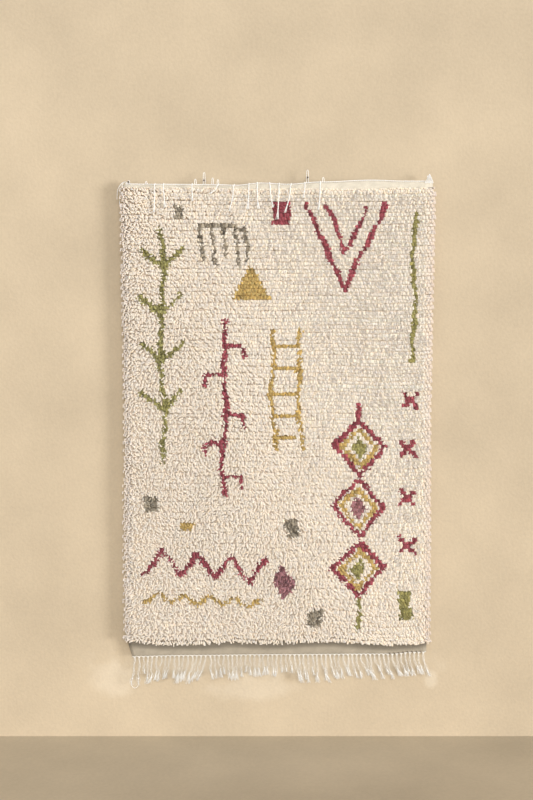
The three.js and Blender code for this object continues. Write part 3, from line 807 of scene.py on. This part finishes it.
cord = {"lobe": 0.74, "turnLength": 13, "knotRadius": 1.0, "coil": 1.7, "coilTurns": 2.1}
tassel = {"fibres": 12, "thick": 0.7, "thin": 0.4, "upperThick": 1.5}
wisp = {"each": 4, "thick": 0.32, "wander": 8, "rings": 14}    # loose fibres beside each lower strand
lowerFringe = {"count": 66, "left": -483, "right": 493, "bend": 2.5, "knotAt": 0.74, "depth": 2.2,
               "over": 1.6, "cordHeight": 5, "cordRadius": 2.28, "cordBelow": 2.4, "scallop": 1.5,
               "bowRadius": 1.3, "bowRise": 14, "gapsFrom": 57}
lowerEnds = {    # of each strand: how far its end drifts and hangs, half its tassel's width, how bold it is
    "drift": [-12, -4, 3, -5, -11, -8, -14, -10, -20, -3, -11, -16, -17, -15, -22, -26, -31, 11, 9, 6, 4,
              9, 5, 0, 1, 1, 0, 2, 3, 2, 2, 4, -5, 3, 5, 8, 22, 13, 9, 3, 9, 5, 34, 4, 24, 15, 13, 21, 13,
              19, 20, 27, 30, 20, 22, 19, 24, 20, 34, 17, 22, 17, 14, 20, 14, 24],
    "reach": [98, 99, 60, 96, 94, 85, 88, 82, 78, 80, 97, 92, 88, 98, 92, 82, 88, 84, 80, 77, 66, 84, 88,
              85, 76, 60, 72, 76, 76, 72, 70, 74, 77, 62, 60, 64, 92, 98, 86, 98, 72, 98, 98, 90, 84, 85,
              85, 74, 76, 83, 84, 74, 80, 90, 60, 86, 72, 86, 76, 78, 80, 80, 82, 76, 78, 84],
    "full": [1, 1, 2, 5, 5, 4, 5, 4, 4, 8, 10, 11, 11, 9, 7, 4, 3, 4, 5, 6, 3, 7, 9, 8, 4, 2, 7, 9, 9, 8,
             5, 3, 3, 2, 2, 3, 4, 6, 3, 4, 3, 9, 4, 5, 5, 6, 6, 3, 3, 4, 5, 3, 7, 9, 3, 4, 5, 6, 9, 9,
             9, 9, 9, 9, 6, 4],
    "bold": [.7, .7, .3, .8, .7, .35, .3, .3, .15, .5, .5, .3, .4, .7, .1, .4, .7, .8, .3, .4, .2, .3,
             .8, .3, .3, .2, .2, .2, .2, .1, .1, .2, .6, .1, .1, .8, .8, .6, .8, .1, .5, .6, .6, .8,
             1, .3, .2, .7, .9, .8, .8, .7, .6, .8, .7, .7, .9, .6, .9, .6, .7, .6, .6, .7, .8, .9],
}
upperFringe = {"half": 488, "root": 2.5, "cordRadius": 2.1, "shoulder": 8, "front": 15, "rise": 4.5,
               "hanging": 24.8, "overRim": 4, "knotAt": 0.86, "fallRadius": 2.3, "loopRadius": 1.35}
upperStrands = {    # of each end: where it starts, how far it hangs and drifts, half its tassel's width
    "x": [-391, -364, -273, -189, -139, -92, -66, -26, 4, 42, 86, 135],
    "drop": [88, 74, 52, 30, 82, 80, 81, 76, 112, 90, 46, 88],
    "drift": [-3, 6, 2, -32, -16, -4, 4, 11, -6, -20, -5, -6],
    "tassel": [2.4, 4.2, 3.6, 2.6, 2.6, 5.2, 5.2, 2.8, 4.6, 3.2, 2.4, 4.4],
}
cornerStrands = [{"x": -477, "out": 25, "drop": 66}, {"x": -470, "out": 40, "drop": 46}]
loops = [
    {"x": -476, "height": 11, "opening": 1.5}, {"x": -235, "height": 38, "opening": 1.5},
    {"x": 95, "height": 40, "opening": 1.5}, {"x": 480, "height": 18, "opening": 1.5},
    {"x": -420, "height": 9, "opening": 1}, {"x": -263, "height": 17, "opening": 1},
    {"x": -208, "height": 21, "opening": 1}, {"x": -191, "height": 16, "opening": 1},
    {"x": 145, "height": 15, "opening": 1},
]
cornerTuft = {"x": 483, "wide": 13, "high": 24, "count": 11, "front": 14.8}    # drawn up to its nail


# Two plies laid round each other: a tube whose section has two lobes and turns along the path
def twistedCords(paths, radii, across):
    lobe = np.where(np.arange(6) % 3 == 0, 1.0, cord["lobe"])
    return makeTubes(paths, radii, 6, across, lobe=lobe, twist=1 / cord["turnLength"])


# A knot: a tube that goes twice round its cord while it climbs, at the given middles
def coilKnots(middles, radius, tall):
    t = np.linspace(0, 1, 17)
    turn = 2 * np.pi * cord["coilTurns"] * t
    coil = np.stack([radius * np.cos(turn), 0.75 * radius * np.sin(turn), tall * (0.5 - t)], axis=1)
    paths = np.asarray(middles, float)[:, None] + coil[None]
    return makeTubes(paths, cord["knotRadius"], 5, (0, 0, 1))


# The fibres of tassels. Each starts in its cord, stops a little short or not, and fans out by its
# spread times t^0.8, with a faint wave.
def tasselFibres(starts, ends, widths, thicker=1.0):
    many, count = tassel["fibres"], len(starts)
    t = np.linspace(0, 1, 5)[:, None]
    spread = draw.uniform(-1, 1, (count, many, 1, 2)) * np.array(widths)[:, None, None, None]
    wave = draw.normal(0, 0.5, (count, many, 1, 2)) * np.sin(t * 5)
    short = draw.uniform(0.8, 1.0, (count, many, 1, 1))
    early = draw.uniform(-0.7, 0.1, (count, many, 1, 1))
    line = starts[:, None, None] + (ends - starts)[:, None, None] * (early + (short - early) * t)
    away = spread * t**0.8 + wave
    line[..., 0] += away[..., 0]
    line[..., 1] += 0.4 * away[..., 1]
    radii = np.linspace(tassel["thick"], tassel["thin"], 5) * thicker
    return makeTubes(line.reshape(-1, 5, 3), radii, 3, (0, 1, 0))


# Fibres that stray beside their strand: its path plus a slow wave of random turn and pace
def looseWisps(paths):
    many, rings = wisp["each"], wisp["rings"]
    picked = np.linspace(0, paths.shape[1] - 1, rings).astype(int)
    line = np.repeat(paths[:, picked], many, axis=0)
    t = np.linspace(0, 1, rings)
    turn = draw.uniform(0, 2 * np.pi, (len(line), 1))
    pace = draw.uniform(4, 15, (len(line), 1))
    line[..., 0] += wisp["wander"] * np.sin(turn + pace * t) * (0.3 + 0.7 * t)
    line[..., 1] += 0.3 * np.sin(2 * turn + pace * t)
    return makeTubes(line, wisp["thick"], 3, (0, 1, 0))


# The lower fringe. Strand k is rooted at its share of the width and hangs by its row in the table, with a
# slight bend; only the bold ones end in a knot. A cord with a small wave for each strand covers the roots
# and a bow joins the ends of the first two. Between the last strands, where the cloth gapes, short dark
# tubes under its edge are painted shadow.
def makeLowerFringe():
    f = lowerFringe
    k = np.arange(f["count"])
    x = f["left"] + 1 + (f["right"] - f["left"] - 2) * (k + 0.5) / f["count"]
    top = heightAt(bandBottom, x) + f["over"] - f["cordHeight"] / 2
    drift, reach, full, bold = (np.array(lowerEnds[column], float)
                                for column in ("drift", "reach", "full", "bold"))
    bend = f["bend"] * (2 * scatter(k, 45) - 1)
    points = np.stack([
        np.stack([x + drift * aside + bend * bent, -f["depth"] - 0.8 * scatter(k, 46) * down,
                  top - reach * down], 1)
        for aside, down, bent in ((0, 0, 0), (0.12, 0.3, 1), (0.55, 0.7, -1), (1, 1, 0))
    ], axis=1)
    paths = smoothPaths(points, 60)
    stop = int(60 * f["knotAt"]) + 2
    radii = (0.35 + 0.65 * bold)[:, None] * np.interp(np.arange(stop), [0, 4, 8, stop], [1.8, 1.4, 1, 1])
    cords = twistedCords(paths[:, :stop], radii, (1, 0, 0))
    rootKnots = coilKnots(paths[:, 2], 2.3, 3.4)
    endKnots = coilKnots(paths[bold > 0.5, stop - 1], cord["coil"], 3.0)
    fibres = tasselFibres(paths[:, stop - 2], paths[:, -1] - (0, 0.8, 0), full)
    wisps = looseWisps(paths)

    across = np.linspace(f["left"], f["right"], 530)
    wave = np.cos(2 * np.pi * f["count"] * (across - f["left"]) / (f["right"] - f["left"]))
    edgeZ = heightAt(bandBottom, across) + f["over"] - f["cordBelow"] + f["scallop"] * wave
    edge = np.stack([across, np.full(across.shape, -f["depth"]), edgeZ], 1)
    edgeCord = twistedCords(edge[None], f["cordRadius"], (0, 0, 1))
    (first, second), rise = paths[:2, -1], np.array((0, 0, f["bowRise"]))
    bow = [[first + rise, first, (first + second) / 2 - 0.7 * rise, second, second + rise]]
    bowCord = twistedCords(smoothPaths(bow, 40), f["bowRadius"], (0, 1, 0))
    # painted shadow: short dark tubes in the gaps between the last strands
    middle = (x[f["gapsFrom"]:-1] + x[f["gapsFrom"] + 1:]) / 2
    slant = np.stack([middle - 2.5, middle, middle + 2.5], 1)
    gapZ = heightAt(bandBottom, slant) + 1.5 - (slant - middle[:, None])
    gaps = makeTubes(np.stack([slant, 0 * slant - 3.2, gapZ], 2), (1.6, 2.6, 1.4), 5, (0, 1, 0))

    light = (0.8 + 0.2 * bold)[:, None]
    cordTint, tasselTint = linear(plainTints["lowCord"]), linear(plainTints["tassel"])
    fibreTint = tasselTint * (0.84 + 0.014 * full[:, None])
    parts = [
        (cords, cordTint * light), (rootKnots, cordTint * light),
        (endKnots, tasselTint * light[bold > 0.5]),
        (fibres, np.repeat(fibreTint, tassel["fibres"], axis=0)),
        (wisps, np.repeat(tasselTint * light, wisp["each"], axis=0)),
        (edgeCord, cordTint), (bowCord, cordTint), (gaps, linear(plainTints["gap"])),
    ]
    piece = joinTubes("lower_fringe", *zip(*parts), cordWool, "warp_cord")
    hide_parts("fringe_bottom")
    return piece


# The upper cord, the ends that fall over the pile, those at the corner, the loops that stand up
# and the corner that is drawn up. Each path goes through a few points, worked out from its row.
def makeUpperFringe():
    f = upperFringe
    across = np.linspace(-f["half"], f["half"], 420)
    edge = np.stack([across, np.full(across.shape, -f["root"]), heightAt(topEdge, across) + f["root"]], 1)
    edgeCord = twistedCords(edge[None], f["cordRadius"], (0, 0, 1))
    x, drop, drift, widths = (np.array(upperStrands[column], float)
                              for column in ("x", "drop", "drift", "tassel"))
    top, rim = heightAt(topEdge, x), heightAt(pileTop, x)
    end = top - drop
    points = np.stack([
        np.stack([x + drift * aside, np.full(x.shape, -out), z], 1)
        for aside, out, z in (
            (0, f["root"], top + f["root"]), (0, f["shoulder"], top + f["rise"]),
            (0, f["front"], top + 1), (0.1, f["hanging"], rim + f["overRim"]),
            (0.3, f["hanging"], rim + (end - rim) * 0.4), (1, f["hanging"], end))
    ], axis=1)
    paths = smoothPaths(points, 64)
    stop = int(64 * f["knotAt"])
    falling = twistedCords(paths[:, :stop], f["fallRadius"], (1, 0, 0))
    endKnots = coilKnots(paths[:, stop - 1], cord["coil"], 3.0)
    fibres = tasselFibres(paths[:, stop - 2], paths[:, -1], widths, tassel["upperThick"])

    corner = []
    for s in cornerStrands:
        x, out = s["x"], s["out"]
        top = float(heightAt(topEdge, x))
        corner.append([(x, -3, top + 2.5), (x - out * 0.55, -4, top + 8),
                       (x - out, -5, top - s["drop"] * 0.3), (x - out - 4, -5, top - s["drop"])])
    hanging = twistedCords(smoothPaths(corner, 48), np.linspace(1.5, 1.2, 48), (0, 1, 0))

    tuft = cornerTuft
    foot = np.linspace(-1, 1, tuft["count"])[:, None]
    base = float(heightAt(topEdge, tuft["x"]))
    stations = [(tuft["wide"], 3.4, -4), (tuft["wide"] * 0.8, 6, 3),
                (tuft["wide"] * 0.36, tuft["front"], tuft["high"] * 0.55), (0.7, 10, tuft["high"])]
    rising = np.concatenate([np.stack([tuft["x"] + foot * wide, foot * 0 - out, foot * 0 + base + up], 2)
                             for wide, out, up in stations], axis=1)
    drawnUp = twistedCords(smoothPaths(rising, 24), np.linspace(1.7, 0.9, 24), (0, 1, 0))

    arches = []
    for s in loops:
        leg = s["opening"] + 1.6
        base = float(heightAt(topEdge, s["x"])) + 2
        top = base + s["height"]
        half = [(leg, base), (leg, (base + top) / 2), (leg * 0.7, top - leg * 0.6)]
        arch = [(-aside, z) for aside, z in half] + [(0, top)] + half[::-1]
        arches.append([(s["x"] + aside, -3.4, z) for aside, z in arch])
    standing = twistedCords(smoothPaths(arches, 40), f["loopRadius"], (0, 1, 0))

    sets = [edgeCord, falling, endKnots, fibres, hanging, standing, drawnUp]
    piece = joinTubes("upper_fringe", sets, [linear(plainTints["cord"])] * len(sets), cordWool, "warp_cord")
    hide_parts("fringe_top")
    return piece


lowerPiece = makeLowerFringe()
upperPiece = makeUpperFringe()
print("fringes knotted")

# Nails

for name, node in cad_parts.items():
    if name.startswith("nail_"):
        node.data.materials.clear()
        node.data.materials.append(nailSteel)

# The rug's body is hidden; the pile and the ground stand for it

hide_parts("rug_body")
for piece in pilePieces:
    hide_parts("rug_body")

# Floor and backdrop, which aren't part of the rug

stageSet = {"behind": 20, "floorDown": -1840, "half": 4500, "front": -7000, "back": 5000, "high": 3200,
            "backdropTint": (201, 185, 160), "floorTint": (190, 178, 157), "paleTint": (222, 210, 190)}
palePatchesAndPaintedLight = [     # of the backdrop: middle, half width and half height, how plain
    {"x": -545, "z": -1640, "wide": 80, "tall": 60, "plain": 0.4},
    {"x": -90, "z": -1675, "wide": 150, "tall": 42, "plain": 0.35},
    {"x": 514, "z": -1642, "wide": 22, "tall": 28, "plain": 0.5},
    # painted light: this wide patch brightens the backdrop behind the fringe, where the fringe's shadow
    # falls
    {"x": 0, "z": -1570, "wide": 500, "tall": 62, "plain": 0.45},
]


# A mottled matt: fine grain and slow clouds about an even tint, paler where a patch's ragged distance, its
# middle at 0 and its rim at 1, is small; the patches are paler plaster, and the wide one behind the fringe
# is painted light. It is clear from behind and to shadows, so that a backdrop hides nothing from there.
def makeStageMatt(name, tint, patches):
    material, tree, shader = newMaterial(name, Roughness=0.9, Specular_IOR_Level=0.1)
    place = addNode(tree, "ShaderNodeTexCoord")["Object"]
    clouds = reckon(tree, "MULTIPLY_ADD", noise(tree, place, 110, 3), 0.45, noise(tree, place, 3.2, 6))
    even, pale = tuple(linear(tint)), tuple(linear(stageSet["paleTint"]))
    for patch in patches:
        middle = (patch["x"] * mm, 0, patch["z"] * mm)
        closeness = (1 / (patch["wide"] * mm), 0, 1 / (patch["tall"] * mm))
        away = reckonVector(tree, "MULTIPLY", reckonVector(tree, "SUBTRACT", place, middle), closeness)
        away = addNode(tree, "ShaderNodeVectorMath", {0: away}, operation="LENGTH")["Value"]
        ragged = reckon(tree, "MULTIPLY_ADD", noise(tree, place, 22, 4), 1.1, away)
        share = mapped(tree, ragged, 1.75, 1.15, 0, patch["plain"])
        even = addNode(tree, "ShaderNodeMix", {"Factor": share, 4: even, 5: pale}, data_type="VECTOR")[1]
    feed(shader, {"Base Color": scaled(tree, even, mapped(tree, clouds, 0.45, 1.0, 0.9, 1.1)),
                  "Normal": bumped(tree, clouds, 0.35, 0.004)})
    behind = addNode(tree, "ShaderNodeNewGeometry")["Backfacing"]
    shadow = addNode(tree, "ShaderNodeLightPath")["Is Shadow Ray"]
    clear = addNode(tree, "ShaderNodeBsdfTransparent")[0]
    mix = addNode(tree, "ShaderNodeMixShader", {0: reckon(tree, "MAXIMUM", behind, shadow),
                                                1: shader.outputs[0], 2: clear})[0]
    feed(tree.nodes["Material Output"], {"Surface": mix})
    return material


def makeStage(name, corners, tint, patches=()):
    mesh = bpy.data.meshes.new(name)
    mesh.from_pydata([[v * mm for v in corner] for corner in corners], [], [(0, 1, 2, 3)])
    mesh.materials.append(makeStageMatt(name, tint, patches))
    plane = bpy.data.objects.new(name, mesh)
    scene.collection.objects.link(plane)


half, y, z = stageSet["half"], stageSet["behind"], stageSet["floorDown"]
high, front, back = stageSet["high"], stageSet["front"], stageSet["back"]
makeStage("backdrop", [(-half, y, z), (half, y, z), (half, y, high), (-half, y, high)],
          stageSet["backdropTint"], palePatchesAndPaintedLight)
makeStage("floor", [(-half, front, z), (half, front, z), (half, back, z), (-half, back, z)],
          stageSet["floorTint"])
print("stage set")
